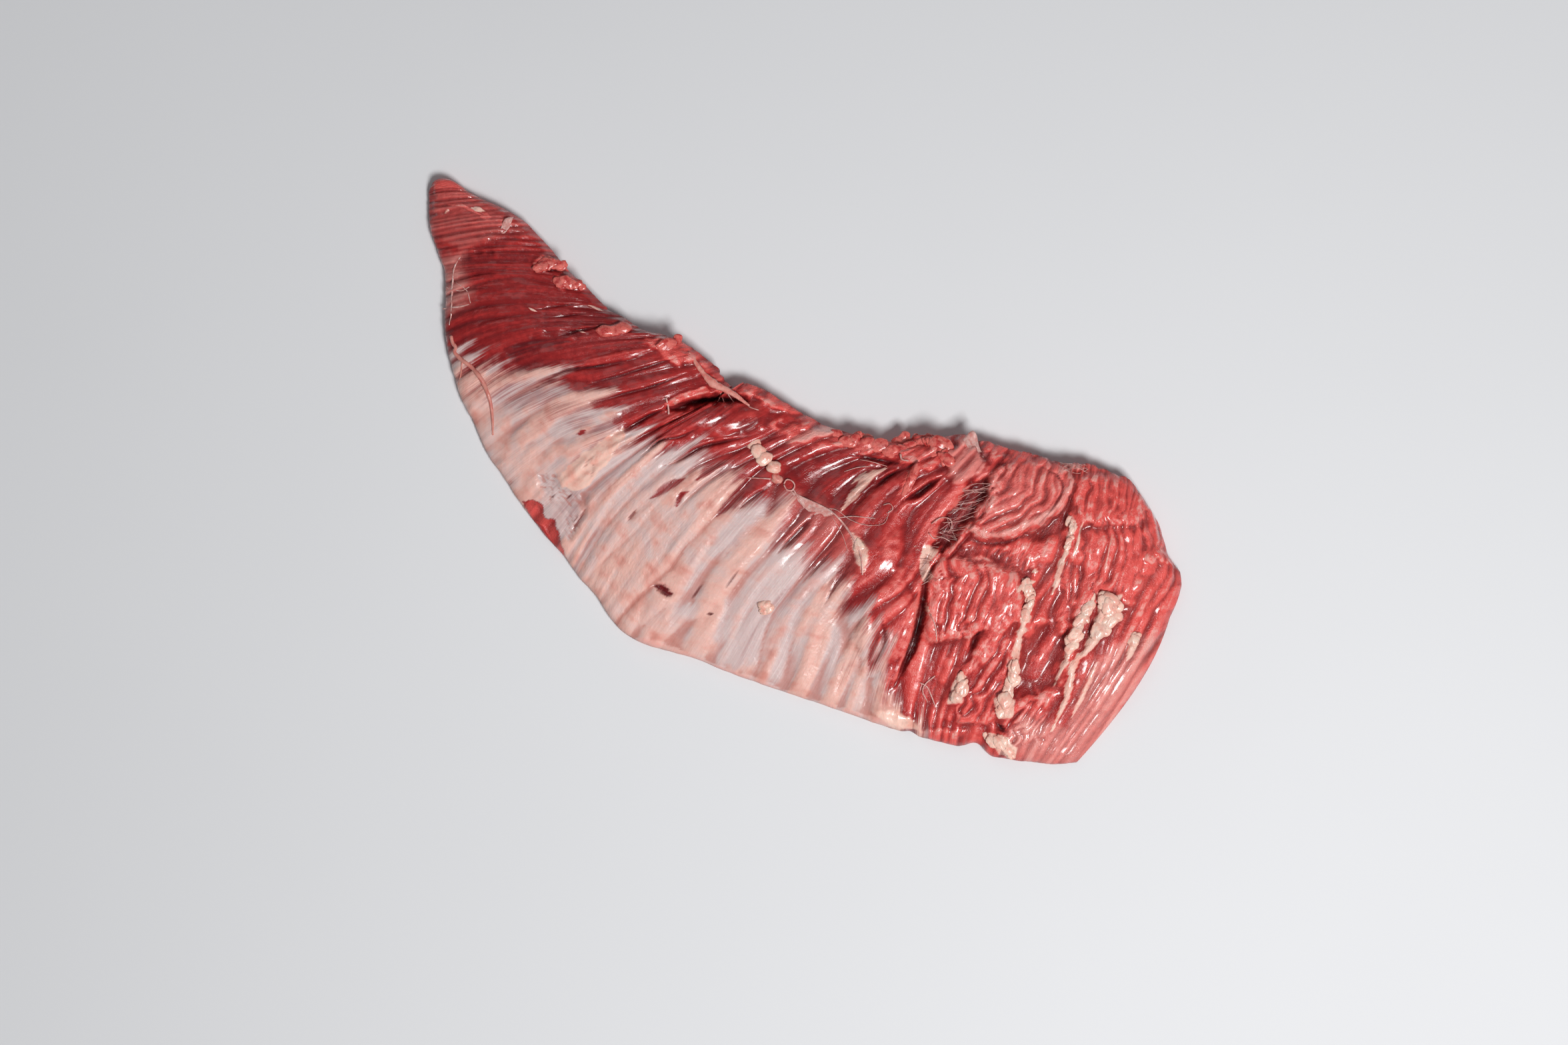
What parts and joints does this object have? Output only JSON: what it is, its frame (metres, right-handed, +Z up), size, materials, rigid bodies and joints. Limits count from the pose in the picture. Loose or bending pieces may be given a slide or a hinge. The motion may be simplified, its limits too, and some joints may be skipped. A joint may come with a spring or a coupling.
{
  "type": "raw beef flap steak",
  "caption": "Raw beef flap steak lying flat, a long slab with a narrow tip and a broad open end, with silverskin, gashes and fat on coarse muscle bundles.",
  "frame": {"origin": "middle of the footprint, on the face that the steak rests on", "axes": "+Z up from the rest face; +X along the longer side of the footprint, from the narrow tip to the broad end; +Y from the thin outer edge to the thick inner edge"},
  "size_m": [0.3634, 0.2828, 0.0259],
  "materials": {
    "raw_beef": "wet raw muscle, dark red, with pale pink silverskin and cream fat"
  },
  "bodies": {
    "root": {"flap_steak": "raw_beef"}
  },
  "joints": []
}
